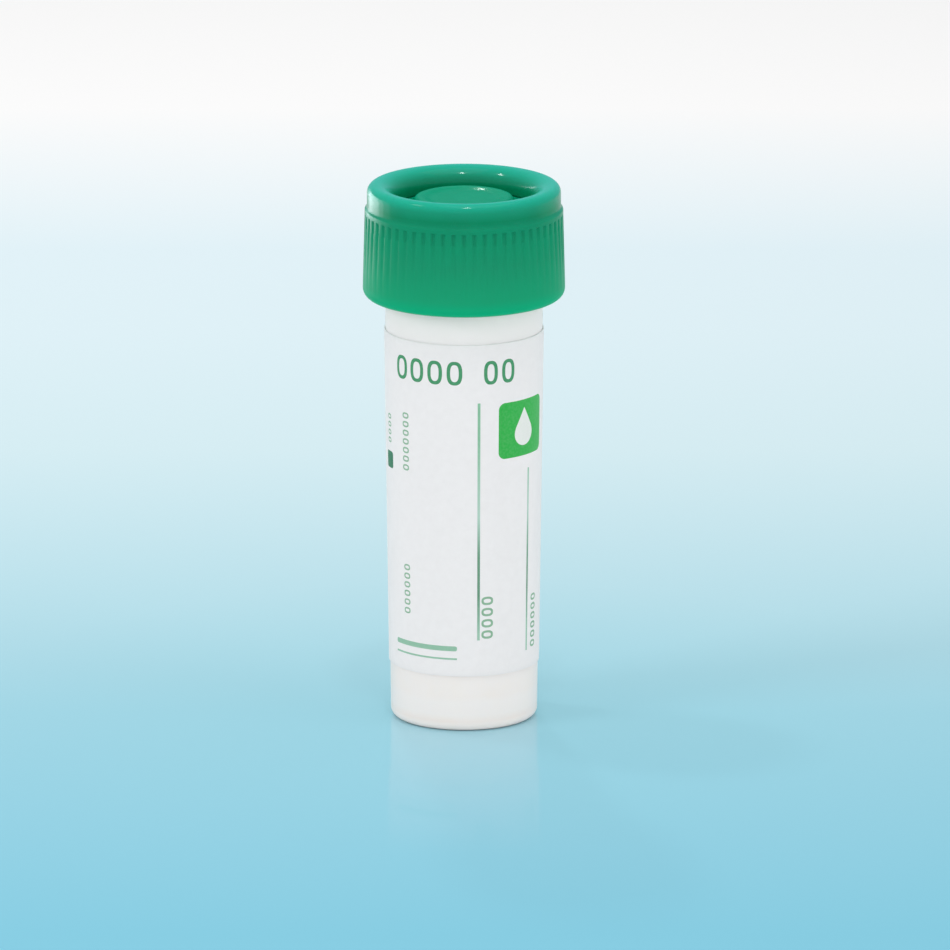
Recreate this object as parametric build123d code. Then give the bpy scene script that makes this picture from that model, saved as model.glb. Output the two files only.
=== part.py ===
"""Blood collection tube: screw cap, pierceable stopper, film label and dried anticoagulant.

Millimetres, +Z up. The origin is the centre of the plane that the foot stands on, and the
back of the tube, where the label leaves its viewing gap, faces +Y.
"""

from build123d import *

import math
import os

# Tube
TUBE_HEIGHT = 50.4            # foot to lip
BASE_DIAMETER = 14.5          # at the foot, before its edge is rounded
DRAFT_ANGLE = 0.75            # degrees each side, wider towards the mouth
WALL = 1.0
FLOOR_THICKNESS = 1.3
FOOT_RECESS_DEPTH = 1.2
FOOT_WIDTH = 1.6              # standing ring, from the outside inwards
FOOT_ROUND = 0.8
FLOOR_CORNER_ROUND = 1.6      # inside, where the wall meets the floor
SHOULDER_STEP = 0.15          # each side, where the body narrows to the neck
NECK_MARGIN = 0.3             # plain neck between the shoulder and the first ridge
LIP_CHAMFER = 0.25            # both edges of the mouth

# Screw thread: right-handed, one start
THREAD_PITCH = 3.0
THREAD_HEIGHT = 0.55
THREAD_ROOT_SHARE = 0.40      # ridge width at its root, as a share of the pitch
THREAD_CREST_SHARE = 0.20     # ridge width at its crest
TUBE_THREAD_LENGTH = 4.5      # along the axis, from end to end of the ridge's middle
CAP_THREAD_LENGTH = 3.25
THREAD_CLEARANCE = 0.15       # crest to root, and flank to flank when screwed down
THREAD_ANCHOR = 0.2           # how deep a ridge is rooted in its wall
THREAD_LEAD = 1.6             # along the wall, where a ridge's end slopes up to its crest

# Screw cap
CAP_TOP_THICKNESS = 2.4       # rim down to the ledge that presses on the stopper
SKIRT_WALL = 1.65             # thread root to the outside, at the skirt's edge
SKIRT_FLARE = 0.22            # how much wider the skirt's edge is than its top, each side
SKIRT_EDGE_ROUND = 1.0
SKIRT_LEAD_IN = 0.3           # chamfer inside the skirt's edge
SKIRT_BELOW_THREAD = 1.25     # plain skirt under the cap's ridge
RING_HEIGHT = 2.2             # smooth ring between the skirt and the top
RING_STEP = 0.22              # how far the ring is set back from the skirt
STEP_SLOPE = 0.25             # height of the sloping step up to the ring
RIM_WIDTH = 2.68              # outside of the ring to the opening
RIM_OUTER_ROUND = 0.8
RIM_INNER_ROUND = 1.75
BEAD_WIDTH = 0.6              # bead that carries the stopper when the cap is unscrewed
BEAD_LEAD_IN = 0.2            # slope under the bead, which lets the stopper snap in
BEAD_TO_THREAD = 0.35         # bead down to the upper edge of the tube's ridge

# Grip grooves round the skirt
GROOVE_COUNT = 60
GROOVE_WIDTH = 0.45
GROOVE_DEPTH_UPPER = 0.2
GROOVE_DEPTH_LOWER = 0.13
GROOVE_TOP_MARGIN = 0.4       # below the step
GROOVE_UPPER_HEIGHT = 1.3     # the deep part
SMOOTH_BAND_HEIGHT = 3.05     # skirt's edge to where the grooves fade out

# Stopper
FLANGE_THICKNESS = 1.1
PLUG_LENGTH = 3.6             # below the flange
PLUG_LEAD_IN = 0.4            # chamfer at the plug's lower edge
SEAL_RIB_COUNT = 2
SEAL_RIB_HEIGHT = 0.25
SEAL_RIB_WIDTH = 0.6
SEPTUM_THICKNESS = 2.7        # island down to the hollow under the plug, the part a needle pierces
PLUG_WALL = 2.4               # round that hollow
MOAT_WIDTH = 1.92             # seen from above, between the cap's opening and the island
MOAT_MARGIN = 0.05            # flange showing inside the cap's opening
MOAT_FLOOR_THICKNESS = 0.5
ISLAND_SETBACK = 1.2         # island below the top of the cap
ISLAND_ROUND = 0.55
ISLAND_BORDER = 0.9           # raised border round the dish
DISH_DEPTH = 0.2
DISH_SLOPE_WIDTH = 0.7

# Label
LABEL_THICKNESS = 0.12
LABEL_BOTTOM = 5.7            # above the foot
LABEL_TOP_MARGIN = 3.15       # below the skirt's edge
LABEL_CORNER_ROUND = 1.5
VIEWING_GAP_ANGLE = 40.0      # degrees left open at the back
ADHESIVE_GAP = 0.03

# Dried anticoagulant
DEPOSIT_HEIGHT = 0.35
DEPOSIT_MARGIN = 0.6          # flat floor left bare round it

# Fits between the closure's pieces
SEAT_GAP = 0.05               # faces that press on each other
PLUG_CLEARANCE = 0.05         # sealing ribs to the bore
FLANGE_CLEARANCE = 0.2        # flange to the inside of the cap
BEAD_CLEARANCE = 0.1          # flange to the bead under it


def body_radius(height):
    """Outside of the tapered body."""
    return BASE_DIAMETER / 2 + height * math.tan(math.radians(DRAFT_ANGLE))


def bore_radius(height):
    """Inside of the tube, which tapers with the body."""
    return body_radius(height) - WALL


# Heights above the foot
FLOOR_TOP = FOOT_RECESS_DEPTH + FLOOR_THICKNESS
FLANGE_BOTTOM = TUBE_HEIGHT + SEAT_GAP
FLANGE_TOP = FLANGE_BOTTOM + FLANGE_THICKNESS
CAP_LEDGE = FLANGE_TOP + SEAT_GAP
CAP_TOP = CAP_LEDGE + CAP_TOP_THICKNESS
BEAD_TOP = FLANGE_BOTTOM - BEAD_CLEARANCE
BEAD_BOTTOM = BEAD_TOP - BEAD_WIDTH
RIDGE_ROOT_WIDTH = THREAD_PITCH * THREAD_ROOT_SHARE
RIDGE_CREST_WIDTH = THREAD_PITCH * THREAD_CREST_SHARE
TUBE_THREAD_TOP = BEAD_BOTTOM - BEAD_TO_THREAD - RIDGE_ROOT_WIDTH / 2
TUBE_THREAD_BOTTOM = TUBE_THREAD_TOP - TUBE_THREAD_LENGTH
SHOULDER = TUBE_THREAD_BOTTOM - RIDGE_ROOT_WIDTH / 2 - NECK_MARGIN
# The cap's ridge lies under the tube's and pulls up against it.
THREAD_OFFSET = (RIDGE_ROOT_WIDTH + RIDGE_CREST_WIDTH) / 2 + THREAD_CLEARANCE
CAP_THREAD_TOP = TUBE_THREAD_TOP - THREAD_OFFSET
CAP_THREAD_BOTTOM = CAP_THREAD_TOP - CAP_THREAD_LENGTH
CAP_BOTTOM = CAP_THREAD_BOTTOM - RIDGE_ROOT_WIDTH / 2 - SKIRT_BELOW_THREAD
SKIRT_TOP = CAP_TOP - RING_HEIGHT - STEP_SLOPE
PLUG_BOTTOM = FLANGE_BOTTOM - PLUG_LENGTH

# Radii
NECK_RADIUS = body_radius(SHOULDER) - SHOULDER_STEP
CAP_BORE_RADIUS = NECK_RADIUS + THREAD_HEIGHT + THREAD_CLEARANCE
CAP_CREST_RADIUS = NECK_RADIUS + THREAD_CLEARANCE
SKIRT_RADIUS = CAP_BORE_RADIUS + SKIRT_WALL
SKIRT_TOP_RADIUS = SKIRT_RADIUS - SKIRT_FLARE
RING_RADIUS = SKIRT_TOP_RADIUS - RING_STEP
OPENING_RADIUS = RING_RADIUS - RIM_WIDTH


def turned(*corners):
    """Revolve an outline of (radius, height) corners about Z.

    A corner's third value is its rounding, as far as the two edges beside it leave room.
    """
    points = [Vector(*corner[:2]) for corner in corners]
    rounds = []
    for index, corner in enumerate(corners):
        back = points[index - 1] - points[index]
        ahead = points[(index + 1) % len(points)] - points[index]
        half_turn = math.radians(180 - back.get_angle(ahead)) / 2
        room = 0.49 * min(back.length, ahead.length) / math.tan(half_turn)
        rounds.append(min(sum(corner[2:]), room))
    outline = FilletPolyline(*points, radius=rounds, close=True)
    return revolve(Plane.XZ * make_face(outline), Axis.Z)


def ridge(wall_radius, crest_radius, bottom, length, start_angle=0.0):
    """One helical thread ridge on a wall, standing out or in, with sloped ends."""
    path = Helix(pitch=THREAD_PITCH, height=length, radius=wall_radius)
    rise = crest_radius - wall_radius
    anchor = -math.copysign(THREAD_ANCHOR, rise)
    section = Polyline(
        (anchor, -RIDGE_ROOT_WIDTH / 2),
        (rise, -RIDGE_CREST_WIDTH / 2),
        (rise, RIDGE_CREST_WIDTH / 2),
        (anchor, RIDGE_ROOT_WIDTH / 2),
        close=True,
    )
    across = Plane(origin=path @ 0, x_dir=(1, 0, 0), z_dir=path % 0)
    swept = sweep(across * make_face(section), path=path, is_frenet=True)
    # What a sloped end takes off, seen from above: a wedge from inside the wall past the crest
    slope = Polyline(
        (wall_radius + anchor / 2, 0),
        (wall_radius + 2 * rise, 2 * THREAD_LEAD),
        (wall_radius + 2 * rise, -THREAD_LEAD),
        (wall_radius + anchor / 2, -THREAD_LEAD),
        close=True,
    )
    lower = extrude(make_face(slope), amount=THREAD_PITCH / 2, both=True)
    turns = 360 * length / THREAD_PITCH
    upper = Pos(0, 0, length) * Rot(0, 0, turns) * lower.mirror(Plane.XZ)
    return Pos(0, 0, bottom) * Rot(0, 0, start_angle) * (swept - lower - upper)


def make_tube():
    """Tapered body, foot, threaded neck and lip, moulded in one."""
    foot_inner = body_radius(0) - FOOT_WIDTH
    mouth_radius = bore_radius(TUBE_HEIGHT)
    walls = turned(
        (foot_inner, 0),
        (body_radius(0), 0, FOOT_ROUND),
        (body_radius(SHOULDER), SHOULDER),
        (NECK_RADIUS, SHOULDER + SHOULDER_STEP),
        (NECK_RADIUS, TUBE_HEIGHT - LIP_CHAMFER),
        (NECK_RADIUS - LIP_CHAMFER, TUBE_HEIGHT),
        (mouth_radius + LIP_CHAMFER, TUBE_HEIGHT),
        (mouth_radius, TUBE_HEIGHT - LIP_CHAMFER),
        (bore_radius(FLOOR_TOP), FLOOR_TOP, FLOOR_CORNER_ROUND),
        (0, FLOOR_TOP),
        (0, FOOT_RECESS_DEPTH),
        (foot_inner, FOOT_RECESS_DEPTH),
    )
    crest = NECK_RADIUS + THREAD_HEIGHT
    return walls + ridge(NECK_RADIUS, crest, TUBE_THREAD_BOTTOM, TUBE_THREAD_LENGTH)


def skirt_outside(height):
    """Outside radius of the flared skirt."""
    share = (SKIRT_TOP - height) / (SKIRT_TOP - CAP_BOTTOM)
    return SKIRT_TOP_RADIUS + SKIRT_FLARE * share


def make_grip_groove():
    """Cutter for one groove: deep under the ring, then shallow, fading into the smooth band."""
    top = SKIRT_TOP - GROOVE_TOP_MARGIN
    step = top - GROOVE_UPPER_HEIGHT
    end = CAP_BOTTOM + SMOOTH_BAND_HEIGHT
    outside = SKIRT_RADIUS + 1
    deep = SKIRT_TOP_RADIUS - GROOVE_DEPTH_UPPER
    side = Polyline(
        (deep, top),
        (deep, step),
        (skirt_outside(step) - GROOVE_DEPTH_LOWER, step),
        (skirt_outside(end), end),
        (outside, end),
        (outside, top),
        close=True,
    )
    return extrude(Plane.XZ * make_face(side), amount=GROOVE_WIDTH / 2, both=True)


def make_screw_cap():
    """Ribbed cap, open in the middle, with its thread and the bead that carries the stopper."""
    shell = turned(
        (CAP_BORE_RADIUS + SKIRT_LEAD_IN, CAP_BOTTOM),
        (SKIRT_RADIUS, CAP_BOTTOM, SKIRT_EDGE_ROUND),
        (SKIRT_TOP_RADIUS, SKIRT_TOP),
        (RING_RADIUS, SKIRT_TOP + STEP_SLOPE),
        (RING_RADIUS, CAP_TOP, RIM_OUTER_ROUND),
        (OPENING_RADIUS, CAP_TOP, RIM_INNER_ROUND),
        (OPENING_RADIUS, CAP_LEDGE),
        (CAP_BORE_RADIUS, CAP_LEDGE),
        (CAP_BORE_RADIUS, BEAD_TOP),
        (CAP_CREST_RADIUS, BEAD_TOP),
        (CAP_CREST_RADIUS, BEAD_BOTTOM + BEAD_LEAD_IN),
        (CAP_BORE_RADIUS, BEAD_BOTTOM),
        (CAP_BORE_RADIUS, CAP_BOTTOM + SKIRT_LEAD_IN),
    )
    tube_ridge_above = CAP_THREAD_BOTTOM + THREAD_OFFSET - TUBE_THREAD_BOTTOM
    start_angle = 360 * tube_ridge_above / THREAD_PITCH
    thread = ridge(
        CAP_BORE_RADIUS, CAP_CREST_RADIUS, CAP_THREAD_BOTTOM, CAP_THREAD_LENGTH, start_angle
    )
    groove = make_grip_groove()
    grooves = [Rot(0, 0, 360 * turn / GROOVE_COUNT) * groove for turn in range(GROOVE_COUNT)]
    return (shell + thread) - grooves


def make_stopper():
    """Flange, plug with sealing ribs, moat and dished island, all about one axis."""
    crest = bore_radius(PLUG_BOTTOM) - PLUG_CLEARANCE
    core = crest - SEAL_RIB_HEIGHT
    island_top = CAP_TOP - ISLAND_SETBACK
    island_radius = OPENING_RADIUS - MOAT_WIDTH
    moat_outer = OPENING_RADIUS - MOAT_MARGIN
    moat_floor = FLANGE_BOTTOM + MOAT_FLOOR_THICKNESS
    flange_radius = CAP_BORE_RADIUS - FLANGE_CLEARANCE
    dish_edge = island_radius - ISLAND_BORDER
    hollow_radius = core - PLUG_WALL
    hollow_top = island_top - DISH_DEPTH - SEPTUM_THICKNESS
    seal_ribs = []
    for rib in range(1, SEAL_RIB_COUNT + 1):
        middle = PLUG_BOTTOM + rib * PLUG_LENGTH / (SEAL_RIB_COUNT + 1)
        seal_ribs.append((core, middle - SEAL_RIB_WIDTH / 2))
        seal_ribs.append((crest, middle))
        seal_ribs.append((core, middle + SEAL_RIB_WIDTH / 2))
    return turned(
        (0, hollow_top),
        (hollow_radius, hollow_top),
        (hollow_radius, PLUG_BOTTOM),
        (core - PLUG_LEAD_IN, PLUG_BOTTOM),
        (core, PLUG_BOTTOM + PLUG_LEAD_IN),
        *seal_ribs,
        (core, FLANGE_BOTTOM),
        (flange_radius, FLANGE_BOTTOM),
        (flange_radius, FLANGE_TOP),
        (moat_outer, FLANGE_TOP),
        (moat_outer, moat_floor),
        (island_radius, moat_floor),
        (island_radius, island_top, ISLAND_ROUND),
        (dish_edge, island_top),
        (dish_edge - DISH_SLOPE_WIDTH, island_top - DISH_DEPTH),
        (0, island_top - DISH_DEPTH),
    )


def make_label():
    """Film sleeve on the body, open along the viewing gap, with rounded corners."""
    top = CAP_BOTTOM - LABEL_TOP_MARGIN
    height = top - LABEL_BOTTOM
    inside_bottom = body_radius(LABEL_BOTTOM) + ADHESIVE_GAP
    inside_top = body_radius(top) + ADHESIVE_GAP
    section = Polyline(
        (inside_bottom, LABEL_BOTTOM),
        (inside_bottom + LABEL_THICKNESS, LABEL_BOTTOM),
        (inside_top + LABEL_THICKNESS, top),
        (inside_top, top),
        close=True,
    )
    sleeve = revolve(Plane.XZ * make_face(section), Axis.Z)
    gap_width = 2 * inside_bottom * math.sin(math.radians(VIEWING_GAP_ANGLE / 2))
    edge_strip = RectangleRounded(4 * LABEL_CORNER_ROUND, height, LABEL_CORNER_ROUND)
    strip_middle = gap_width / 2 + 2 * LABEL_CORNER_ROUND
    opening = Rectangle(2 * strip_middle, height + 2)
    for side in (-strip_middle, strip_middle):
        opening -= Pos(side, 0) * edge_strip
    back = Plane(origin=(0, 0, LABEL_BOTTOM + height / 2), x_dir=(-1, 0, 0), z_dir=(0, 1, 0))
    return sleeve - extrude(back * opening, amount=SKIRT_RADIUS)


def make_deposit():
    """Low dome dried on the flat middle of the floor."""
    radius = bore_radius(FLOOR_TOP) - FLOOR_CORNER_ROUND - DEPOSIT_MARGIN
    ball_radius = (radius**2 + DEPOSIT_HEIGHT**2) / (2 * DEPOSIT_HEIGHT)
    ball = Pos(0, 0, FLOOR_TOP + DEPOSIT_HEIGHT - ball_radius) * Sphere(ball_radius)
    slab = Pos(0, 0, FLOOR_TOP) * Cylinder(
        2 * radius, DEPOSIT_HEIGHT, align=(Align.CENTER, Align.CENTER, Align.MIN)
    )
    return ball & slab


pieces = {
    "tube": make_tube(),
    "screw_cap": make_screw_cap(),
    "stopper": make_stopper(),
    "label": make_label(),
    "edta_additive": make_deposit(),
}

os.makedirs("parts", exist_ok=True)
for name, piece in pieces.items():
    export_step(piece, f"parts/{name}.step")
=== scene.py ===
import math
from functools import reduce

import bmesh
import bpy
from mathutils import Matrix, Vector


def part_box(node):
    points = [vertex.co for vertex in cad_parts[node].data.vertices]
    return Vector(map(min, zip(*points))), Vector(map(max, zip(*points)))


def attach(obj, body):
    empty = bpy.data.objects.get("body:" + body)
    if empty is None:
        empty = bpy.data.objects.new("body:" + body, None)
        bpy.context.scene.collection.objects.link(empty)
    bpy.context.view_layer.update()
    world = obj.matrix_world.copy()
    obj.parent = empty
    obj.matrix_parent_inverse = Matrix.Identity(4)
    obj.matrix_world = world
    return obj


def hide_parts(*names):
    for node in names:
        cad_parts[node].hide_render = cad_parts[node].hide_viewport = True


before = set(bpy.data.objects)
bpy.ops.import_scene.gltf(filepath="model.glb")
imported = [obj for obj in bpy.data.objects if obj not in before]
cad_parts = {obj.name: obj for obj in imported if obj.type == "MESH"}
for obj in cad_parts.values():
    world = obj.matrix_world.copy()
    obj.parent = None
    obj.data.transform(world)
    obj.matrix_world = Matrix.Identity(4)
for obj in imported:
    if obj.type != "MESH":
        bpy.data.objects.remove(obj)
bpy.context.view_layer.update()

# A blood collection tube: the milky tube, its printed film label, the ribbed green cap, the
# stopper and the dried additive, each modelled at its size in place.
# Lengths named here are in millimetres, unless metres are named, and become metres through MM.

MM = 0.001

# Levels and widths that the frame gives
TUBE_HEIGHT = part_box("tube")[1].z / MM
CAP_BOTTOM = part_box("screw_cap")[0].z / MM
CAP_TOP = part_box("screw_cap")[1].z / MM
LABEL_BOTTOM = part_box("label")[0].z / MM
LABEL_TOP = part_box("label")[1].z / MM
PLUG_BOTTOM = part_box("stopper")[0].z / MM
FLANGE_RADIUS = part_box("stopper")[1].x / MM
DEPOSIT_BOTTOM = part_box("edta_additive")[0].z / MM
DEPOSIT_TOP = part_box("edta_additive")[1].z / MM
DEPOSIT_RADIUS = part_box("edta_additive")[1].x / MM

# Roundings of the small moulded edges, and how many facets a rounding has
CRISP = 0.1
SOFT = 0.15
FEW_FACETS = 4
MANY_FACETS = 8
BROAD = 0.5                  # roundings above this have the many facets

# Tube
BASE_RADIUS = 7.25
DRAFT = math.tan(math.radians(0.75))
WALL = 1.0
FLOOR_TOP = DEPOSIT_BOTTOM
FLOOR_CORNER_ROUND = 1.6     # inside, where the wall meets the floor
FOOT_RECESS_DEPTH = 1.2
FOOT_RECESS_ROUND = 0.35
FOOT_WIDTH = 1.6
FOOT_ROUND = 0.8
FOOT_INNER_ROUND = 0.2
PLAIN_MARGIN = 1.2           # plain body between the label and the ring of corners under it
SHOULDER = 43.4
SHOULDER_STEP = 0.15
LIP_ROUND = 0.25
TUBE_COLUMNS = 144


def body_radius(height):
    """Outside of the tapered body, in millimetres."""
    return BASE_RADIUS + height * DRAFT


def bore_radius(height):
    """Inside of the tapered body, in millimetres."""
    return body_radius(height) - WALL


# Thread
NECK_RADIUS = body_radius(SHOULDER) - SHOULDER_STEP
PITCH = 3.0
RIDGE_HEIGHT = 0.55
RIDGE_ROOT = 1.2
RIDGE_CREST = 0.6
RIDGE_ANCHOR = 0.2
RIDGE_LEAD = 12.0            # degrees of each end that slope up to the crest
RIDGE_END_SINK = 0.1         # share of its height by which a sloped end is sunk in the wall
THREAD_CLEARANCE = 0.15
TUBE_RIDGE_BOTTOM = 44.3
TUBE_RIDGE_LENGTH = 4.5
CAP_RIDGE_BOTTOM = 44.5
CAP_RIDGE_LENGTH = 3.25
CAP_RIDGE_DROP = 1.05        # cap's ridge below the tube's when screwed down

# Cap
CAP_BORE = NECK_RADIUS + RIDGE_HEIGHT + THREAD_CLEARANCE
CAP_CREST = NECK_RADIUS + THREAD_CLEARANCE
SKIRT_WALL = 1.65
SKIRT_RADIUS = CAP_BORE + SKIRT_WALL
SKIRT_FLARE = 0.22
SKIRT_EDGE_ROUND = 1.0
SKIRT_LEAD_IN = 0.3          # chamfer inside the skirt's edge
RING_HEIGHT = 2.2
RING_STEP = 0.22
STEP_SLOPE = 0.25
RIM_WIDTH = 2.68
RIM_OUTER_ROUND = 0.8
RIM_INNER_ROUND = 1.75
SKIRT_TOP = CAP_TOP - RING_HEIGHT - STEP_SLOPE
RING_RADIUS = SKIRT_RADIUS - SKIRT_FLARE - RING_STEP
OPENING_RADIUS = RING_RADIUS - RIM_WIDTH
CAP_TOP_THICKNESS = 2.4      # rim down to the ledge that presses on the stopper
CAP_LEDGE = CAP_TOP - CAP_TOP_THICKNESS
BEAD_DROP = 0.05             # bead below the tube's lip
BEAD_TOP = TUBE_HEIGHT - BEAD_DROP
BEAD_WIDTH = 0.6
BEAD_LEAD_IN = 0.2           # slope under the bead
RIB_COUNT = 60
COLUMNS_PER_RIB = 8
GROOVE_TOP_MARGIN = 0.4      # below the step
GROOVE_UPPER_HEIGHT = 1.3    # the deep part
SMOOTH_BAND_HEIGHT = 3.05    # skirt's edge to where the grooves fade out
GROOVE_TOP = SKIRT_TOP - GROOVE_TOP_MARGIN
GROOVE_STEP = GROOVE_TOP - GROOVE_UPPER_HEIGHT
GROOVE_END = CAP_BOTTOM + SMOOTH_BAND_HEIGHT
GROOVE_RUN_OUT = 0.15        # height over which a deep groove starts or stops
GROOVE_DEPTH_UPPER = 0.2
GROOVE_DEPTH_LOWER = 0.13
# Share of its depth that a groove has in its middle column and in the next two on either side
FLUTE = (1.0, 0.8, 0.08)

# Stopper
PLUG_CLEARANCE = 0.05        # sealing ribs to the bore
SEAL_RIB_COUNT = 2
SEAL_RIB_HEIGHT = 0.25
SEAL_RIB_HALF_WIDTH = 0.3
SEAL_RIB_ROUND = 0.12
PLUG_CREST = bore_radius(PLUG_BOTTOM) - PLUG_CLEARANCE
PLUG_RADIUS = PLUG_CREST - SEAL_RIB_HEIGHT
PLUG_WALL = 2.4              # round the hollow
PLUG_LEAD_IN = 0.4           # chamfer at the plug's lower edge
HOLLOW_ROUND = 0.3
SEAT_GAP = 0.05              # flange to the tube's lip
FLANGE_THICKNESS = 1.1
FLANGE_BOTTOM = TUBE_HEIGHT + SEAT_GAP
FLANGE_TOP = FLANGE_BOTTOM + FLANGE_THICKNESS
MOAT_MARGIN = 0.05           # flange showing inside the cap's opening
MOAT_WIDTH = 1.92            # from the cap's opening to the island
MOAT_FLOOR_THICKNESS = 0.5
MOAT_OUTER = OPENING_RADIUS - MOAT_MARGIN
MOAT_FLOOR = FLANGE_BOTTOM + MOAT_FLOOR_THICKNESS
MOAT_OUTER_ROUND = 0.2
MOAT_INNER_ROUND = 0.3
ISLAND_SETBACK = 1.2         # island below the top of the cap
ISLAND_RADIUS = OPENING_RADIUS - MOAT_WIDTH
ISLAND_TOP = CAP_TOP - ISLAND_SETBACK
ISLAND_ROUND = 0.55
ISLAND_BORDER = 0.9          # raised border round the dish
DISH_EDGE = ISLAND_RADIUS - ISLAND_BORDER
DISH_DEPTH = 0.2
DISH_SLOPE_WIDTH = 0.7
DISH_EDGE_ROUND = 0.2
DISH_FLOOR_ROUND = 0.25
SEPTUM = 2.7                 # what a needle pierces, from the dish to the hollow
HOLLOW_TOP = ISLAND_TOP - DISH_DEPTH - SEPTUM

# Label
VIEWING_GAP = 40.0           # degrees left open at the back
LABEL_THICKNESS = 0.12
ADHESIVE_GAP = 0.01
LABEL_CORNER = 1.5
LABEL_EDGE = 0.05            # rounding of the film's cut edges
LABEL_EDGE_FACETS = 2
LABEL_COLUMNS = 160
LABEL_ROWS = 68
LABEL_MIDDLE = (LABEL_BOTTOM + LABEL_TOP) / 2
LABEL_MIDDLE_RADIUS = body_radius(LABEL_MIDDLE) + ADHESIVE_GAP
LABEL_ARC = math.radians(360 - VIEWING_GAP)
LABEL_WIDTH = LABEL_ARC * LABEL_MIDDLE_RADIUS
LABEL_HEIGHT = LABEL_TOP - LABEL_BOTTOM

# Dried additive
DEPOSIT_HEIGHT = DEPOSIT_TOP - DEPOSIT_BOTTOM
DEPOSIT_RINGS = 10
DEPOSIT_COLUMNS = 72


# ---------------------------------------------------------------- camera

SIGHT = Vector((1.09, 0.0, 24.4)) * MM     # what the lens is centred on
CAMERA_TILT = math.radians(14.2)
CAMERA_DISTANCE = 1.5                      # metres
CLIP_START, CLIP_END = 0.05, 20            # metres
FRAME_WIDTH = 94.1 * MM                    # width of the view at the tube
SENSOR = 36.0                              # width of the camera's film


def make_camera():
    """A long lens that looks along +Y and a little down."""
    lens = bpy.data.cameras.new("camera")
    lens.sensor_width = SENSOR
    lens.lens = SENSOR * CAMERA_DISTANCE / FRAME_WIDTH
    lens.clip_start = CLIP_START
    lens.clip_end = CLIP_END
    camera = bpy.data.objects.new("camera", lens)
    bpy.context.scene.collection.objects.link(camera)
    back = Vector((0, -math.cos(CAMERA_TILT), math.sin(CAMERA_TILT)))
    camera.location = SIGHT + back * CAMERA_DISTANCE
    camera.rotation_euler = (-back).to_track_quat("-Z", "Y").to_euler()
    bpy.context.scene.camera = camera


# ---------------------------------------------------------------- modelling

SELECT_MODES = {"verts": "VERT", "edges": "EDGE"}
RING_SLACK = 0.004           # how far off a ring its corners may lie
LEVEL_SLACK = 1e-6           # metres, how far off a level its corners may lie
MERGE_SLACK = 0.001          # how far apart corners that become one may lie
NEAR = 0.25                  # share of a column, or of a ridge's height, that is near it
SMOOTH_ANGLE = 35            # degrees, faces that meet at less are shaded as one


def choose(piece):
    """Leave one piece selected and active, and no other."""
    bpy.ops.object.select_all(action="DESELECT")
    piece.select_set(True)
    bpy.context.view_layer.objects.active = piece


def start_edit(piece):
    """Enter edit mode on one piece with nothing selected."""
    choose(piece)
    bpy.ops.object.mode_set(mode="EDIT")
    bpy.ops.mesh.select_all(action="DESELECT")


def end_edit():
    """Leave edit mode."""
    bpy.ops.object.mode_set(mode="OBJECT")


def pick(piece, kind, wanted):
    """Select, in edit mode, only the verts or edges all of whose corners pass a test of place."""
    bpy.ops.mesh.select_mode(type=SELECT_MODES[kind])
    bpy.ops.mesh.select_all(action="DESELECT")
    shape = bmesh.from_edit_mesh(piece.data)
    for item in getattr(shape, kind):
        corners = [item] if kind == "verts" else item.verts
        if all(wanted(corner.co) for corner in corners):
            item.select_set(True)
    shape.select_flush_mode()
    bmesh.update_edit_mesh(piece.data)


def radius_of(place):
    """Distance of a place from the tube's axis, in millimetres."""
    return math.hypot(place.x, place.y) / MM


def on_ring(radius, height):
    """A test for places on one circle about the axis."""
    def test(place):
        off_side = abs(radius_of(place) - radius)
        return off_side < RING_SLACK and abs(place.z / MM - height) < RING_SLACK
    return test


def at_level(level):
    """A test for places at one level, which is given in metres."""
    return lambda place: abs(place.z - level) < LEVEL_SLACK


def scale_round_axis(factor):
    """Scale what is selected towards or away from the axis."""
    bpy.ops.transform.resize(value=(factor, factor, 1), center_override=(0, 0, 0))


def turn(name, outline, columns):
    """Turn an outline of (radius, height) corners about the axis, ring by ring."""
    bpy.ops.object.select_all(action="DESELECT")
    radius, height = outline[0][:2]
    bpy.ops.mesh.primitive_circle_add(vertices=columns, radius=radius * MM)
    piece = bpy.context.object
    piece.name = name
    bpy.ops.object.mode_set(mode="EDIT")
    bpy.ops.mesh.select_all(action="SELECT")
    bpy.ops.transform.translate(value=(0, 0, height * MM))
    for corner in outline[1:]:
        rise = (corner[1] - height) * MM
        bpy.ops.mesh.extrude_region_move(TRANSFORM_OT_translate={"value": (0, 0, rise)})
        scale_round_axis(corner[0] / radius)
        radius, height = corner[:2]
    return piece


def fill_ring(piece, radius, height):
    """Close one open ring with a disc."""
    pick(piece, "edges", on_ring(radius, height))
    bpy.ops.mesh.edge_face_add()


def face_outwards():
    """Point every face away from the material."""
    bpy.ops.mesh.select_all(action="SELECT")
    bpy.ops.mesh.normals_make_consistent(inside=False)


def round_outline(piece, outline):
    """Round every corner of an outline that has a third value, its rounding."""
    for radius, height, *rounding in outline:
        if rounding:
            pick(piece, "edges", on_ring(radius, height))
            bpy.ops.mesh.bevel(
                offset=rounding[0] * MM, offset_type="OFFSET", profile=0.5, affect="EDGES",
                segments=MANY_FACETS if rounding[0] > BROAD else FEW_FACETS,
            )


def turn_solid(name, outline, columns=TUBE_COLUMNS):
    """Turn an outline from axis to axis: discs fill its first and last rings."""
    piece = turn(name, outline, columns)
    for end in (outline[0], outline[-1]):
        fill_ring(piece, *end[:2])
    face_outwards()
    round_outline(piece, outline)
    return piece


def finish_piece(piece):
    """Smooth the faces that meet at a slight angle and put the origin at the frame's."""
    end_edit()
    choose(piece)
    bpy.ops.object.transform_apply(location=True, rotation=True, scale=True)
    bpy.ops.object.shade_smooth_by_angle(angle=math.radians(SMOOTH_ANGLE))


def apply_modifiers(piece):
    """Apply all the modifiers of a piece."""
    choose(piece)
    for modifier in list(piece.modifiers):
        bpy.ops.object.modifier_apply(modifier=modifier.name)


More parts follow.
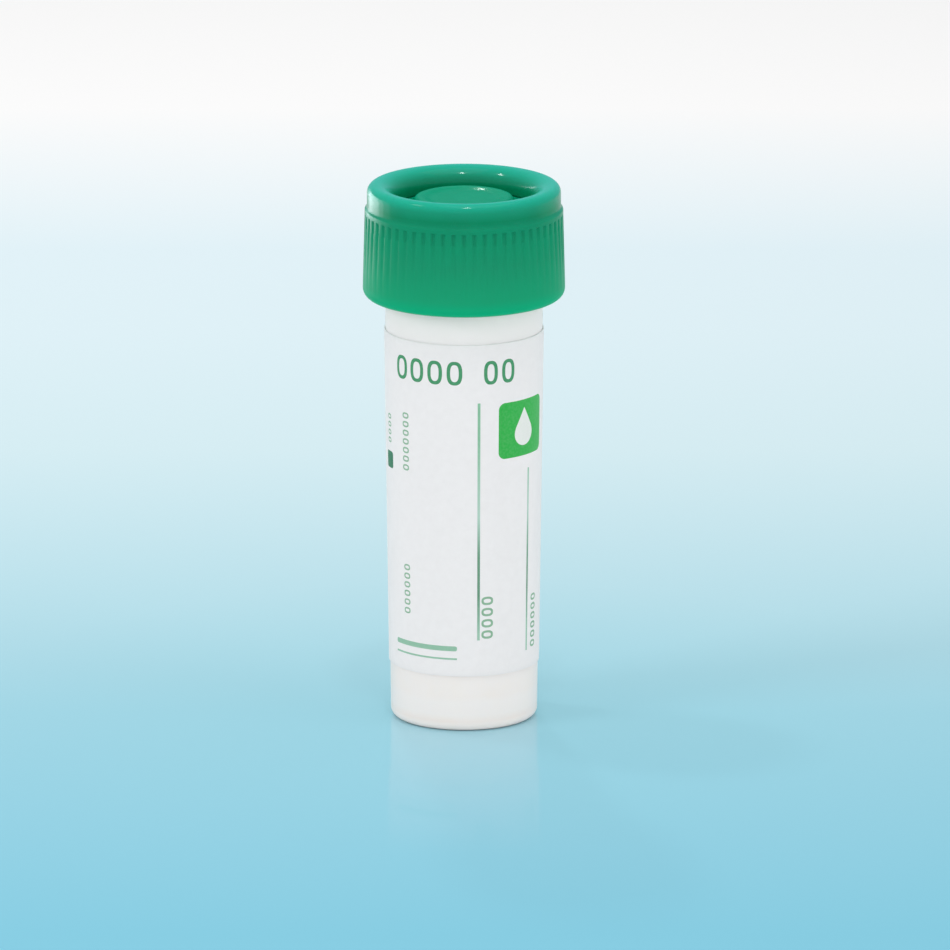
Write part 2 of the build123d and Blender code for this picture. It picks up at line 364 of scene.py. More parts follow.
def slope_ridge_end(piece, wall, crest, bottom, end, direction):
    """Slope one end of a ridge from its crest down into the wall."""
    step = 360 / TUBE_COLUMNS
    columns = int(RIDGE_LEAD / step)
    for column in range(columns):
        angle = end + direction * column * step
        level = bottom + angle / 360 * PITCH
        here = Vector((math.cos(math.radians(angle)), math.sin(math.radians(angle)), 0))

        def at_end(place):
            across = Vector((place.x, place.y, 0)).normalized()
            near = across.angle(here) < math.radians(step * NEAR)
            at_crest = abs(radius_of(place) - crest) < abs(crest - wall) * NEAR
            return near and at_crest and abs(place.z / MM - level) < RIDGE_ROOT

        pick(piece, "verts", at_end)
        share = column / columns - RIDGE_END_SINK
        scale_round_axis((wall + share * (crest - wall)) / crest)


def make_ridge(name, wall, crest, bottom, length, start_angle):
    """One thread ridge: a trapezoid screwed up about the axis, its ends closed and sloped."""
    # The section starts as a square of 1 mm either way, so that it is resized by millimetres
    bpy.ops.object.select_all(action="DESELECT")
    bpy.ops.mesh.primitive_plane_add(size=2 * MM, rotation=(math.pi / 2, 0, 0))
    piece = bpy.context.object
    piece.name = name
    bpy.ops.object.transform_apply(rotation=True)
    start_edit(piece)
    bpy.ops.mesh.select_all(action="SELECT")
    anchor = -math.copysign(RIDGE_ANCHOR, crest - wall)
    middle = wall + (anchor + crest - wall) / 2
    half_depth = abs(crest - wall - anchor) / 2
    bpy.ops.transform.resize(value=(half_depth, 1, RIDGE_ROOT / 2))
    bpy.ops.transform.translate(value=(middle * MM, 0, bottom * MM))
    outwards = crest > wall
    pick(piece, "verts", lambda place: (place.x > middle * MM) == outwards)
    bpy.ops.transform.resize(
        value=(1, 1, RIDGE_CREST / RIDGE_ROOT), center_override=(0, 0, bottom * MM)
    )
    bpy.ops.mesh.select_all(action="SELECT")
    bpy.ops.mesh.delete(type="ONLY_FACE")
    end_edit()
    turns = length / PITCH
    screw = piece.modifiers.new("screw", "SCREW")
    screw.axis = "Z"
    screw.angle = turns * 2 * math.pi
    screw.screw_offset = length * MM
    screw.steps = screw.render_steps = int(turns * TUBE_COLUMNS)
    screw.use_merge_vertices = False
    apply_modifiers(piece)
    start_edit(piece)
    bpy.ops.mesh.select_mode(type="EDGE")
    bpy.ops.mesh.select_non_manifold()
    bpy.ops.mesh.edge_face_add()
    for end, direction in ((0, 1), (turns * 360, -1)):
        slope_ridge_end(piece, wall, crest, bottom, end, direction)
    face_outwards()
    end_edit()
    piece.rotation_euler.z = math.radians(start_angle)
    bpy.ops.object.transform_apply(rotation=True)
    return piece


def weld(piece, other):
    """Unite two closed pieces into one moulding."""
    union = piece.modifiers.new("union", "BOOLEAN")
    union.operation = "UNION"
    union.solver = "EXACT"
    union.object = other
    apply_modifiers(piece)
    bpy.data.objects.remove(other)


# ---------------------------------------------------------------- finishes

class Value:
    """A number that varies over a surface. Plain operators add its Math nodes."""

    def __init__(self, nodes, socket):
        self.nodes = nodes
        self.socket = socket

    def maths(self, operation, *others):
        """The value joined to others by one Math node."""
        return self.nodes.maths(operation, self, *others)

    def __add__(self, other):
        return self.maths("ADD", other)

    __radd__ = __add__

    def __mul__(self, other):
        return self.maths("MULTIPLY", other)

    __rmul__ = __mul__

    def __sub__(self, other):
        return self.maths("SUBTRACT", other)

    def __rsub__(self, other):
        return self.nodes.maths("SUBTRACT", other, self)

    def __gt__(self, other):
        return self.maths("GREATER_THAN", other)

    def __lt__(self, other):
        return self.maths("LESS_THAN", other)

    def __abs__(self):
        return self.maths("ABSOLUTE")

    def floor(self):
        """The whole number below."""
        return self.maths("FLOOR")

    def at_least(self, other):
        """The larger of two values, which is either mask where both are masks."""
        return self.maths("MAXIMUM", other)

    def at_most(self, other):
        """The smaller of two values."""
        return self.maths("MINIMUM", other)


class Nodes:
    """The nodes of one material or of the world, added one by one."""

    def __init__(self, tree):
        self.tree = tree

    def node(self, kind, settings=None, sockets=None):
        """Add a node: its settings first, then the values or links of its sockets."""
        made = self.tree.nodes.new(kind)
        for name, value in (settings or {}).items():
            setattr(made, name, value)
        for name, value in (sockets or {}).items():
            self.feed(made.inputs[name], value)
        return made

    def feed(self, socket, value):
        """Give a socket a plain value, a Value or another node's output."""
        if isinstance(value, Value):
            value = value.socket
        if isinstance(value, bpy.types.NodeSocket):
            self.tree.links.new(value, socket)
        else:
            socket.default_value = value

    def maths(self, operation, *values):
        """One Math node."""
        made = self.node("ShaderNodeMath", {"operation": operation}, dict(enumerate(values)))
        return Value(self, made.outputs[0])

    def blend(self, share, first, second):
        """A mix of two colours, all the first at a share of 0."""
        sockets = {0: share, 6: first, 7: second}
        return self.node("ShaderNodeMix", {"data_type": "RGBA"}, sockets).outputs[2]

    def seen_through_lens(self):
        """A mask for rays from the lens, straight, mirrored or through clear plastic."""
        rays = self.node("ShaderNodeLightPath").outputs
        straight, mirrored, through = (
            Value(self, rays[kind])
            for kind in ("Is Camera Ray", "Is Glossy Ray", "Is Transmission Ray")
        )
        return straight.at_least(mirrored).at_least(through)


class Finish(Nodes):
    """One procedural material; its constants are set on the surface's own sockets."""

    def __init__(self, name, **constants):
        self.material = bpy.data.materials.new(name)
        self.material.use_nodes = True
        super().__init__(self.material.node_tree)
        self.surface = self.tree.nodes["Principled BSDF"]
        self.paint(**constants)

    def paint(self, **inputs):
        """Feed the surface's sockets, named with _ for each space."""
        for name, value in inputs.items():
            self.feed(self.surface.inputs[name.replace("_", " ")], value)

    def glow(self, weight, depths):
        """Let red, green and blue light spread inside, each to a depth in millimetres."""
        self.paint(
            Subsurface_Weight=weight, Subsurface_Scale=1.0,
            Subsurface_Radius=[depth * MM for depth in depths],
        )

    def place(self):
        """The piece's own x, y and z, in millimetres."""
        where = self.node("ShaderNodeTexCoord").outputs["Object"]
        parts = self.node("ShaderNodeSeparateXYZ", None, {0: where})
        return [Value(self, output) * (1 / MM) for output in parts.outputs]

    def noise(self, scale, detail=2.0, roughness=0.5):
        """Even noise about 0.5, its scale in features to a millimetre."""
        where = self.node("ShaderNodeTexCoord").outputs["Object"]
        sockets = {
            "Vector": where, "Scale": scale / MM, "Detail": detail, "Roughness": roughness,
        }
        return Value(self, self.node("ShaderNodeTexNoise", None, sockets).outputs["Fac"])

    def graded(self, along, stops):
        """A colour that changes along a value, through (value, colour) stops."""
        tint = colour(*stops[0][1])
        for (near, _), (far, shade) in zip(stops, stops[1:]):
            tint = self.blend(clamp_between(along, near, far), tint, colour(*shade))
        return tint

    def mottle(self, body, pattern, limits, share, tint):
        """A tint laid at up to a given share over a body colour, as a pattern rises."""
        return self.blend(clamp_between(pattern, *limits) * share, body, tint)

    def bump(self, height, depth):
        """Relief of a given depth in millimetres."""
        sockets = {"Height": height, "Distance": depth * MM, "Strength": 1.0}
        self.paint(Normal=self.node("ShaderNodeBump", None, sockets).outputs["Normal"])


def colour(red, green, blue):
    """A paint colour given as it is seen on a screen, from 0 to 255."""
    def linear(level):
        share = level / 255
        return share / 12.92 if share <= 0.04045 else ((share + 0.055) / 1.055) ** 2.4
    return (linear(red), linear(green), linear(blue), 1.0)


def clamp_between(value, low, high):
    """A value held between two limits and stretched to run from 0 to 1."""
    return ((value - low) * (1 / (high - low))).at_least(0).at_most(1)


# Greens of the cap by height, with painted light and shade: the lower edge painted lighter as if
# lit from below, the ring under the rim painted darker, the rim top painted lighter as if lit from
# above
CAP_PAINTED_LIGHT_TINTS = [
    (CAP_BOTTOM + 0.3, (6, 180, 130)), (CAP_BOTTOM + 1.6, (29, 161, 116)),
    (CAP_BOTTOM + 5.0, (29, 149, 109)), (GROOVE_STEP, (23, 146, 107)), (SKIRT_TOP, (12, 141, 103)),
    (SKIRT_TOP + 0.7, (0, 131, 90)), (CAP_TOP - 0.9, (16, 148, 113)), (CAP_TOP, (24, 176, 149)),
]
CAP_GLOSS_LEVELS = (SKIRT_TOP - 2, CAP_TOP - 1)    # where the cap's gloss starts and is full


def cap_green():
    """Moulded green polyethylene: slight flow marks, fine grain, painted light and shade by
    height, glossy towards the rim.
    """
    finish = Finish("green_polyethylene", IOR=1.5, Specular_IOR_Level=0.03, Coat_Roughness=0.11)
    finish.glow(0.2, (0.2, 1.0, 0.7))
    flow = finish.noise(0.25, detail=4, roughness=0.55)
    grain = finish.noise(9)
    height = finish.place()[2]
    # Painted light and shade: lighter at the lower edge and the rim top, darker on the ring
    body = finish.graded(height, CAP_PAINTED_LIGHT_TINTS)
    body = finish.mottle(body, flow, (0.35, 0.65), 0.12, colour(10, 172, 124))
    body = finish.mottle(body, grain, (0.55, 0.75), 0.1, colour(40, 180, 145))
    finish.paint(Base_Color=body, Roughness=0.28 + flow * 0.12 + grain * 0.05)
    finish.paint(Coat_Weight=clamp_between(height, *CAP_GLOSS_LEVELS) * 0.5)
    finish.bump(flow * 0.6 + grain * 0.2, depth=0.02)
    return finish.material


# Greens of the stopper by height: the channel round the island is painted lighter, painted light
# that lifts the shade in that recess
STOPPER_PAINTED_LIGHT_TINTS = [(MOAT_FLOOR + 0.3, (0, 184, 140)), (ISLAND_TOP - 0.6, (0, 150, 112))]


def stopper_green():
    """Moulded green elastomer, a little bluer and softer in its shine than the cap."""
    finish = Finish(
        "green_elastomer", IOR=1.5, Specular_IOR_Level=0.02, Coat_Weight=0.06, Coat_Roughness=0.1
    )
    finish.glow(0.1, (0.2, 0.8, 0.7))
    bloom = finish.noise(0.5, detail=5, roughness=0.6)
    grain = finish.noise(14, detail=3)
    # Painted light: the low channel is lighter than the island to lift its shade
    body = finish.graded(finish.place()[2], STOPPER_PAINTED_LIGHT_TINTS)
    body = finish.mottle(body, bloom, (0.3, 0.7), 0.3, colour(0, 164, 126))
    finish.paint(Base_Color=body, Roughness=0.36 + grain * 0.14)
    finish.bump(bloom * 0.5 + grain * 0.3, depth=0.02)
    return finish.material


# Whites of the tube by height: the solid foot and floor stand out from the hollow wall
TUBE_TINTS = [
    (0.4, (255, 253, 250)), (1.0, (253, 243, 237)), (1.7, (255, 251, 248)),
    (2.9, (255, 251, 248)), (3.6, (254, 247, 242)), (CAP_BOTTOM, (255, 252, 253)),
]


def milky_plastic():
    """Natural polypropylene: milky, faintly clouded and hardly clear."""
    finish = Finish("natural_polypropylene", IOR=1.49, Transmission_Weight=0.02)
    finish.glow(0.35, (0.8, 0.8, 0.75))
    cloud = finish.noise(0.35, detail=4, roughness=0.6)
    grain = finish.noise(12)
    body = finish.graded(finish.place()[2], TUBE_TINTS)
    body = finish.mottle(body, cloud, (0.3, 0.7), 0.5, colour(252, 250, 249))
    finish.paint(Base_Color=body, Roughness=0.22 + cloud * 0.14 + grain * 0.04)
    finish.bump(cloud * 0.7 + grain * 0.15, depth=0.04)
    return finish.material


def dried_salt():
    """Fine white deposit, crusted where it dried."""
    finish = Finish("dried_anticoagulant", IOR=1.45)
    finish.glow(0.3, (0.3, 0.3, 0.3))
    crust = finish.noise(3.0, detail=6, roughness=0.7)
    thin, thick = colour(222, 220, 210), colour(248, 248, 244)
    body = finish.blend(clamp_between(crust, 0.35, 0.65), thin, thick)
    finish.paint(Base_Color=body, Roughness=0.55 + crust * 0.3)
    finish.bump(crust, depth=0.12)
    return finish.material


# Marks printed on the label. A place is millimetres across from the label's middle and up from
# the foot. A row of noughts has the place of its first, its pitch, count, size and stroke. A
# block has its middle, its size and the rounding of its corners.
HEADER_ROWS = [
    ((-6.75, 36.65), 1.95, 4, (1.5, 2.4), 0.34),
    ((2.62, 36.65), 1.85, 2, (1.4, 2.4), 0.34),
]
CAPTION_ROWS = [
    ((2.35, 9.95), 1.15, 4, (0.85, 1.2), 0.22),
    ((8.5, 8.1), 0.95, 6, (0.7, 0.95), 0.2),
    ((-6.3, 26.5), 0.88, 7, (0.62, 0.85), 0.16),
    ((-6.3, 11.9), 0.88, 6, (0.62, 0.85), 0.16),
    ((-9.3, 28.7), 0.8, 4, (0.55, 0.8), 0.16),
]
RULES = [((1.45, 21.5), (0.27, 24.2)), ((7.3, 16.95), (0.25, 18.7))]
FOOTER_BARS = [((-4.4, 8.55), (7.4, 0.5), 0.2), ((-4.4, 7.5), (7.4, 0.18))]
DARK_MARK = ((-9.3, 26.7), (1.5, 1.7), 0.3)
SIZE_BLOCK = ((6.55, 30.55), (6.2, 5.7), 0.7)
SIZE_DROP = ((6.55, 30.0), 1.25)           # middle and radius of the drop's round part

# Greens of the ruled lines by height: the ink is fuller low down
RULE_TINTS = [
    (10, (160, 204, 182)), (14, (104, 156, 127)), (18, (108, 160, 131)), (22, (182, 215, 202)),
    (30, (140, 196, 163)),
]
INK_THINNING = 0.04          # share of its fullness that the ink loses where it is thin
NOUGHT_POWER = 2.6           # 2 gives an ellipse, and more a squarer nought
DROP_POINT = 2.1             # height of the drop's point, in radii of its round part
DROP_SLOPE = 0.56            # half width that the point gains over its height
DROP_SHOULDER = 0.45         # radii above which the point's straight sides start


class Print:
    """Marks printed on the label, placed in millimetres across and up the sheet."""

    def __init__(self, across, up):
        self.across = across
        self.up = up

    def block(self, middle, size, corner=0.0):
        """A solid block, its corners rounded if asked."""
        across = abs(self.across - middle[0])
        up = abs(self.up - middle[1])
        if not corner:
            return (across < size[0] / 2) * (up < size[1] / 2)
        past_side = (across - (size[0] / 2 - corner)).at_least(0)
        past_top = (up - (size[1] / 2 - corner)).at_least(0)
        return past_side * past_side + past_top * past_top < corner**2

    def noughts(self, first, pitch, count, size, stroke, upright=True):
        """A row of plain noughts, running across the sheet or, turned, up it."""
        along, cross = (self.across, self.up) if upright else (self.up, self.across)
        start, middle = first if upright else first[::-1]
        cell = (along - start) * (1 / pitch) + 0.5
        inside_row = (cell > 0) * (cell < count)
        local = (cell - cell.floor() - 0.5) * pitch

        def oval(half_width, half_height):
            wide = abs(local * (1 / half_width)).maths("POWER", NOUGHT_POWER)
            tall = abs((cross - middle) * (1 / half_height)).maths("POWER", NOUGHT_POWER)
            return wide + tall < 1

        outer = oval(size[0] / 2, size[1] / 2)
        inner = oval(size[0] / 2 - stroke, size[1] / 2 - stroke)
        return inside_row * (outer - inner)

    def drop(self, middle, radius):
        """A plain drop: a disc under a point."""
        across, up = self.across - middle[0], self.up - middle[1]
        disc = across * across + up * up < radius**2
        half_width = (radius * DROP_POINT - up) * DROP_SLOPE
        point = (abs(across) < half_width) * (up > radius * DROP_SHOULDER)
        return disc.at_least(point)


def together(masks):
    """One mask for several marks."""
    return reduce(Value.at_least, masks)


def label_film():
    """Satin white film printed in greens: plain noughts, a block with a drop and ruled lines."""
    finish = Finish("label_film", IOR=1.45)
    finish.glow(0.3, (0.25, 0.25, 0.25))
    sheet = finish.node("ShaderNodeUVMap", {"uv_map": "UVMap"}).outputs["UV"]
    parts = finish.node("ShaderNodeSeparateXYZ", None, {0: sheet})
    across = (Value(finish, parts.outputs[0]) - 0.5) * LABEL_WIDTH
    up = Value(finish, parts.outputs[1]) * LABEL_HEIGHT + LABEL_BOTTOM
    marks = Print(across, up)
    header = together(marks.noughts(*row) for row in HEADER_ROWS)
    captions = together(marks.noughts(*row, upright=False) for row in CAPTION_ROWS)
    rules = together(marks.block(*rule) for rule in RULES)
    footer = together(marks.block(*bar) for bar in FOOTER_BARS)
    dark_mark = marks.block(*DARK_MARK)
    size_block = marks.block(*SIZE_BLOCK)
    size_drop = marks.drop(*SIZE_DROP)

    fibre = finish.noise(1.2, detail=5, roughness=0.6)
    grain = finish.noise(25)
    dull, bright = colour(246, 246, 248), colour(250, 250, 252)
    base = finish.blend(clamp_between(fibre, 0.3, 0.7), dull, bright)
    fullness = clamp_between(finish.noise(4), 0.3, 0.6) * INK_THINNING + (1 - INK_THINNING)
    for mask, ink in (
        (captions, colour(142, 186, 156)),
        (footer, colour(150, 198, 172)),
        (rules, finish.graded(up, RULE_TINTS)),
        (header, colour(66, 154, 104)),
        (dark_mark, colour(40, 122, 82)),
        (size_block, colour(48, 183, 74)),
        (size_drop, colour(240, 246, 242)),
    ):
        base = finish.blend(mask * fullness, base, ink)
    finish.paint(Base_Color=base, Roughness=0.42 + grain * 0.12 - size_block * 0.06)
    finish.bump(fibre * 0.5 + grain * 0.25 + size_block * 0.05, depth=0.02)
    return finish.material


# ---------------------------------------------------------------- pieces

def dress(piece, body, node, material):
    """Give a finished piece its material and its body, and hide the node that it stands for."""
    piece.data.materials.clear()
    piece.data.materials.append(material)
    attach(piece, body)
    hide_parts(node)


def make_tube():
    """The tapered body, foot, neck and lip, with the thread ridge welded on."""
    outline = [
        (BASE_RADIUS - FOOT_WIDTH, FOOT_RECESS_DEPTH, FOOT_RECESS_ROUND),
        (BASE_RADIUS - FOOT_WIDTH, 0, FOOT_INNER_ROUND),
        (BASE_RADIUS, 0, FOOT_ROUND),
        (body_radius(LABEL_BOTTOM - PLAIN_MARGIN), LABEL_BOTTOM - PLAIN_MARGIN),
        (body_radius(LABEL_MIDDLE), LABEL_MIDDLE),
        (body_radius(SHOULDER), SHOULDER, CRISP),
        (NECK_RADIUS, SHOULDER + SHOULDER_STEP, CRISP),
        (NECK_RADIUS, TUBE_HEIGHT, LIP_ROUND),
        (bore_radius(TUBE_HEIGHT), TUBE_HEIGHT, LIP_ROUND),
        (bore_radius(LABEL_MIDDLE), LABEL_MIDDLE),
        (bore_radius(FLOOR_TOP), FLOOR_TOP, FLOOR_CORNER_ROUND),
    ]
    piece = turn_solid("tube_body", outline)
    end_edit()
    crest = NECK_RADIUS + RIDGE_HEIGHT
    thread = make_ridge("neck_thread", NECK_RADIUS, crest, TUBE_RIDGE_BOTTOM, TUBE_RIDGE_LENGTH, 0)
    weld(piece, thread)
    finish_piece(piece)
    dress(piece, "tube", "tube", milky_plastic())


def skirt_outside(height):
    """Outside of the flared skirt, in millimetres."""
    share = (SKIRT_TOP - height) / (SKIRT_TOP - CAP_BOTTOM)
    return SKIRT_RADIUS - SKIRT_FLARE + SKIRT_FLARE * share


def sink_grooves(piece, height, depth):
    """Sink one level of all the grip grooves, each a rounded flute some columns wide."""
    column = 360 / RIB_COUNT / COLUMNS_PER_RIB
    outside = skirt_outside(height)
    on_skirt = on_ring(outside, height)
    for beside, share in enumerate(FLUTE):

        def in_column(place):
            angle = math.degrees(math.atan2(place.y, place.x)) % (360 / RIB_COUNT)
            from_middle = min(angle, 360 / RIB_COUNT - angle)
            return on_skirt(place) and abs(from_middle - beside * column) < column * NEAR

        pick(piece, "verts", in_column)
        scale_round_axis(1 - depth * share / outside)


def make_cap():
    """The ribbed cap: shell, grip grooves, rounded rim, stopper bead and inside thread."""
    groove_levels = [
        (GROOVE_STEP, GROOVE_DEPTH_LOWER),
        (GROOVE_STEP + GROOVE_RUN_OUT, GROOVE_DEPTH_UPPER),
        (GROOVE_TOP - GROOVE_RUN_OUT, GROOVE_DEPTH_UPPER),
        (GROOVE_TOP, 0),
    ]
    outline = [
        (CAP_BORE + SKIRT_LEAD_IN, CAP_BOTTOM, CRISP),
        (skirt_outside(CAP_BOTTOM), CAP_BOTTOM, SKIRT_EDGE_ROUND),
        (skirt_outside(GROOVE_END), GROOVE_END),
        *((skirt_outside(height), height) for height, depth in groove_levels),
        (skirt_outside(SKIRT_TOP), SKIRT_TOP, CRISP),
        (RING_RADIUS, SKIRT_TOP + STEP_SLOPE, SOFT),
        (RING_RADIUS, CAP_TOP, RIM_OUTER_ROUND),
        (OPENING_RADIUS, CAP_TOP, RIM_INNER_ROUND),
        (OPENING_RADIUS, CAP_LEDGE, SOFT),
        (CAP_BORE, CAP_LEDGE),
        (CAP_BORE, BEAD_TOP),
        (CAP_CREST, BEAD_TOP, CRISP),
        (CAP_CREST, BEAD_TOP - BEAD_WIDTH + BEAD_LEAD_IN, CRISP),
        (CAP_BORE, BEAD_TOP - BEAD_WIDTH),
        (CAP_BORE, CAP_BOTTOM + SKIRT_LEAD_IN),
    ]
    piece = turn("ribbed_cap", outline + outline[:1], RIB_COUNT * COLUMNS_PER_RIB)
    # The last ring lies on the first, and merging the two closes the shell
    bpy.ops.mesh.select_all(action="SELECT")
    bpy.ops.mesh.remove_doubles(threshold=MERGE_SLACK * MM)
    face_outwards()
    for height, depth in groove_levels:
        sink_grooves(piece, height, depth)
    round_outline(piece, outline)
    end_edit()
    above = CAP_RIDGE_BOTTOM + CAP_RIDGE_DROP - TUBE_RIDGE_BOTTOM
    thread = make_ridge(
        "cap_thread", CAP_BORE, CAP_CREST, CAP_RIDGE_BOTTOM, CAP_RIDGE_LENGTH,
        360 * above / PITCH,
    )
    weld(piece, thread)
    finish_piece(piece)
    dress(piece, "screw_cap", "screw_cap", cap_green())


def make_stopper():
    """Flange, plug with its sealing ribs, moat and the dished island."""
    outline = [
        (PLUG_RADIUS - PLUG_WALL, HOLLOW_TOP, HOLLOW_ROUND),
        (PLUG_RADIUS - PLUG_WALL, PLUG_BOTTOM, SOFT),
        (PLUG_RADIUS - PLUG_LEAD_IN, PLUG_BOTTOM, SOFT),
        (PLUG_RADIUS, PLUG_BOTTOM + PLUG_LEAD_IN, SOFT),
    ]
    for number in range(1, SEAL_RIB_COUNT + 1):
        share = number / (SEAL_RIB_COUNT + 1)
        middle = PLUG_BOTTOM + share * (FLANGE_BOTTOM - PLUG_BOTTOM)
        outline += [
            (PLUG_RADIUS, middle - SEAL_RIB_HALF_WIDTH),
            (PLUG_CREST, middle, SEAL_RIB_ROUND),
            (PLUG_RADIUS, middle + SEAL_RIB_HALF_WIDTH),
        ]
    outline += [
        (PLUG_RADIUS, FLANGE_BOTTOM),
        (FLANGE_RADIUS, FLANGE_BOTTOM, SOFT),
        (FLANGE_RADIUS, FLANGE_TOP, SOFT),
        (MOAT_OUTER, FLANGE_TOP, SOFT),
        (MOAT_OUTER, MOAT_FLOOR, MOAT_OUTER_ROUND),
        (ISLAND_RADIUS, MOAT_FLOOR, MOAT_INNER_ROUND),
        (ISLAND_RADIUS, ISLAND_TOP, ISLAND_ROUND),
        (DISH_EDGE, ISLAND_TOP, DISH_EDGE_ROUND),
        (DISH_EDGE - DISH_SLOPE_WIDTH, ISLAND_TOP - DISH_DEPTH, DISH_FLOOR_ROUND),
    ]
    piece = turn_solid("stopper_plug", outline)
    finish_piece(piece)
    dress(piece, "stopper", "stopper", stopper_green())


def make_label():
    """A flat film sheet with rounded corners, wrapped round the tapered body."""
    width = LABEL_WIDTH * MM
    height = LABEL_HEIGHT * MM
    bpy.ops.object.select_all(action="DESELECT")
    bpy.ops.mesh.primitive_grid_add(
        x_subdivisions=LABEL_COLUMNS, y_subdivisions=LABEL_ROWS, size=2,
        rotation=(math.pi / 2, 0, 0),
    )
    piece = bpy.context.object
    piece.name = "film_label"
    piece.scale = (width / 2, height / 2, 1)
    bpy.ops.object.transform_apply(rotation=True, scale=True)
    start_edit(piece)
    rows = sorted({round(vert.co.z, 7) for vert in bmesh.from_edit_mesh(piece.data).verts})
    corner = LABEL_CORNER * MM
    for row in rows:
        depth = height / 2 - abs(row)
        if depth < corner:
            inset = corner - math.sqrt(corner**2 - (corner - depth) ** 2)
            pick(piece, "verts", at_level(row))
            bpy.ops.transform.resize(value=(1 - 2 * inset / width, 1, 1))
    end_edit()
    wrap = piece.modifiers.new("wrap", "SIMPLE_DEFORM")
    wrap.deform_method = "BEND"
    wrap.deform_axis = "Z"
    wrap.angle = LABEL_ARC
    apply_modifiers(piece)
    start_edit(piece)
    bpy.ops.mesh.select_all(action="SELECT")
    bpy.ops.transform.translate(value=(0, -LABEL_MIDDLE_RADIUS * MM, LABEL_MIDDLE * MM))
    for row in rows:
        level = row + LABEL_MIDDLE * MM
        pick(piece, "verts", at_level(level))
        scale_round_axis((body_radius(level / MM) + ADHESIVE_GAP) / LABEL_MIDDLE_RADIUS)
    end_edit()
    film = piece.modifiers.new("film", "SOLIDIFY")
    film.thickness = LABEL_THICKNESS * MM
    film.offset = 1.0
    edge = piece.modifiers.new("edge", "BEVEL")
    edge.width = LABEL_EDGE * MM
    edge.segments = LABEL_EDGE_FACETS
    apply_modifiers(piece)
    finish_piece(piece)
    dress(piece, "tube", "label", label_film())


def make_deposit():
    """A low crusted dome dried on the floor."""
    ball = (DEPOSIT_RADIUS**2 + DEPOSIT_HEIGHT**2) / (2 * DEPOSIT_HEIGHT)
    outline = []
    for ring in range(DEPOSIT_RINGS):
        radius = DEPOSIT_RADIUS * (1 - ring / DEPOSIT_RINGS)
        outline.append((radius, DEPOSIT_TOP - ball + math.sqrt(ball**2 - radius**2)))
    piece = turn_solid("dried_deposit", outline, DEPOSIT_COLUMNS)
    finish_piece(piece)
    dress(piece, "tube", "edta_additive", dried_salt())


# ---------------------------------------------------------------- floor and lights

FLOOR_SIZE = 12              # metres

# Floor colours by their place along the view, in millimetres behind the tube
FLOOR_TINTS = [
    (-80, (134, 202, 223)), (0, (160, 211, 226)), (40, (182, 221, 232)), (107, (212, 235, 241)),
    (160, (222, 240, 246)), (200, (226, 242, 248)), (271, (255, 255, 255)),
]
# Distances over which the floor turns to its far tint, which lit looks much like the tent
FLOOR_FAR = (330, 1300)
FAR_TINT = (174, 247, 255)
TENT_TINT = (150, 214, 226)

# Distances from the tube's axis where the floor's shine has faded out and where it is full
FLOOR_SHINE = (52, 6)
FLOOR_SHINE_WEIGHT = 0.8

# Greys of the light that the floor and the tent throw on the pieces, whatever colour they show
FLOOR_BOUNCE = (225, 226, 226)
TENT_LIGHT = 0.72


def make_floor():
    """A plain pale floor, blue near by and whiter towards the back, with a soft sheen."""
    bpy.ops.object.select_all(action="DESELECT")
    bpy.ops.mesh.primitive_plane_add(size=FLOOR_SIZE)
    floor = bpy.context.object
    floor.name = "floor"
    finish = Finish("pale_floor", Specular_IOR_Level=0.0, Roughness=0.6, Coat_Roughness=0.06)
    across, along = finish.place()[:2]
    tint = finish.graded(along, FLOOR_TINTS)
    away = (across * across + along * along).maths("SQRT")
    tint = finish.blend(clamp_between(away, *FLOOR_FAR), tint, colour(*FAR_TINT))
    shown = finish.seen_through_lens()
    finish.paint(Base_Color=finish.blend(shown, colour(*FLOOR_BOUNCE), tint))
    finish.paint(Coat_Weight=clamp_between(away, *FLOOR_SHINE) * FLOOR_SHINE_WEIGHT)
    floor.data.materials.append(finish.material)


# Softboxes that light the scene without a mirror image: place, size and power of each
SOFTBOXES = {
    "left_box": ((-364, -200, 244), (150, 150), 0.32),
    "right_fill": ((460, -230, 110), (300, 200), 0.34),
    "front_fill": ((0, -520, 50), (300, 90), 0.2),
    "top_front": ((16, -150, 475), (35, 50), 0.14),
    "top_left": ((-173, 100, 457), (35, 50), 0.14),
    "top_back": ((-60, 330, 330), (35, 50), 0.14),
    "top_box": ((60, 0, 520), (380, 380), 0.2),
}
TUBE_MIDDLE = (0, 0, 27)

# Lamps seen only as mirror images: place, size, power and the pieces that they shine on
CLOSURE = ("ribbed_cap", "stopper_plug")
BODY = ("tube_body", "film_label")
GLINTS = {
    "left_shine": ((-360, -198, 242), (150, 150), 0.32, BODY),
    "top_shine": ((59, 0, 515), (380, 380), 0.2, CLOSURE + BODY),
    "front_point": ((16, -149, 472), (30, 36), 0.2, CLOSURE + BODY),
    "left_point": ((-250, 0, 439), (30, 36), 0.2, CLOSURE),
    "back_point": ((-38, 365, 330), (25, 30), 0.2, ("stopper_plug",)),
}

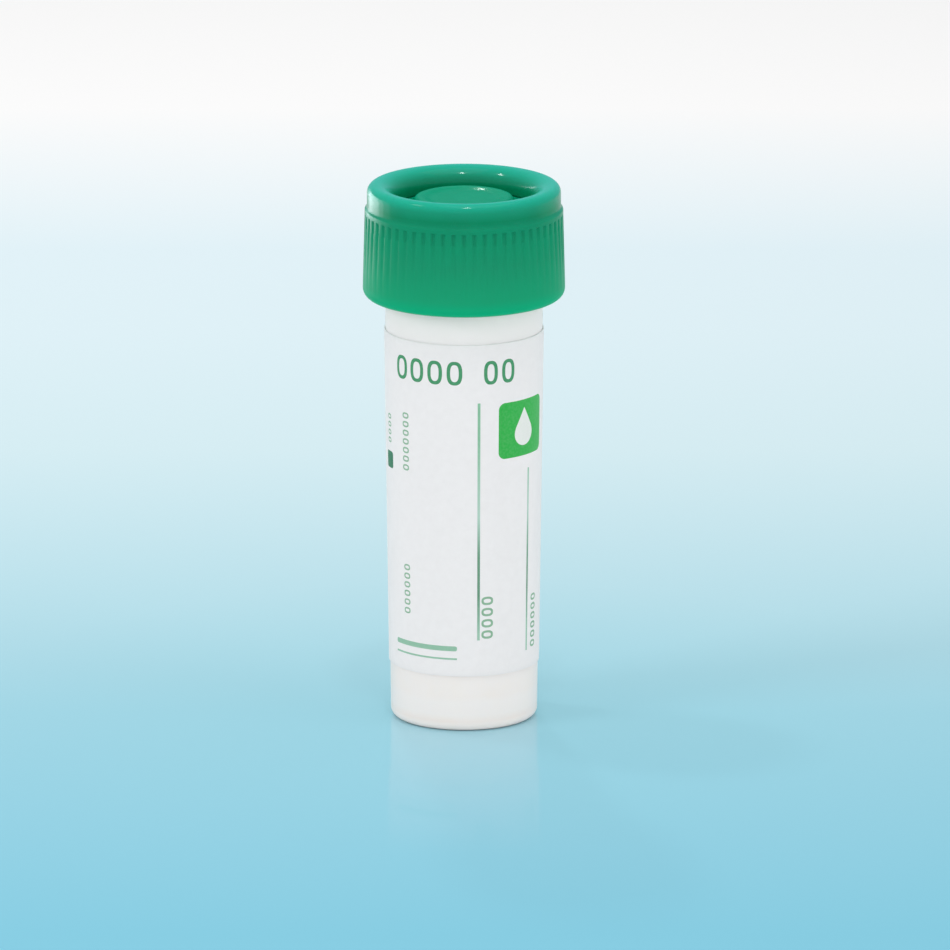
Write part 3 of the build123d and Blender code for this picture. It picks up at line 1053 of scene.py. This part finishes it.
# Cards seen only in the gloss of the closure, behind on the left: place, size and power
SHEEN_CARDS = [
    ((-104, 94, 48), (70, 50), 0.03),
    ((-108, 90, 48), (110, 60), 0.035),
    ((-112, 82, 48), (160, 70), 0.03),
]
CARD_AIM = (0, 0, 52)
CARD_COLOUR = (0.85, 0.95, 1.0)


def add_softbox(name, place, size, power, aim=TUBE_MIDDLE):
    """A rectangular lamp without a mirror image, its place and size in millimetres."""
    lamp = bpy.data.lights.new(name, "AREA")
    lamp.shape = "RECTANGLE"
    lamp.size, lamp.size_y = size[0] * MM, size[1] * MM
    lamp.energy = power
    lit = bpy.data.objects.new(name, lamp)
    bpy.context.scene.collection.objects.link(lit)
    lit.location = Vector(place) * MM
    lit.visible_glossy = False
    direction = (Vector(aim) - Vector(place)).normalized()
    lit.rotation_euler = direction.to_track_quat("-Z", "Y").to_euler()
    return lit


def shine_only(lamp, pieces):
    """Let a lamp be seen only as a mirror image, and only in the pieces named."""
    shining = bpy.data.collections.new(f"{lamp.name}_on")
    for piece in pieces:
        shining.objects.link(bpy.data.objects[piece])
    lamp.light_linking.receiver_collection = shining
    lamp.visible_glossy = True
    lamp.visible_diffuse = False
    lamp.visible_camera = False


def make_lights():
    """Soft studio light in a pale tent, with glints and a sheen that only the gloss shows."""
    for name, (place, size, power) in SOFTBOXES.items():
        add_softbox(name, place, size, power)
    for name, (place, size, power, pieces) in GLINTS.items():
        shine_only(add_softbox(name, place, size, power), pieces)
    for number, (place, size, power) in enumerate(SHEEN_CARDS):
        card = add_softbox(f"sheen_card_{number}", place, size, power, CARD_AIM)
        card.data.color = CARD_COLOUR
        shine_only(card, CLOSURE)
    world = bpy.data.worlds.new("studio")
    bpy.context.scene.world = world
    world.use_nodes = True
    tent = Nodes(world.node_tree)
    light = (TENT_LIGHT, TENT_LIGHT, TENT_LIGHT, 1)
    shade = tent.blend(tent.seen_through_lens(), light, colour(*TENT_TINT))
    tent.feed(world.node_tree.nodes["Background"].inputs["Color"], shade)


make_camera()
make_tube()
make_cap()
make_stopper()
make_label()
make_deposit()
make_floor()
make_lights()

bpy.context.scene.view_settings.view_transform = "Standard"
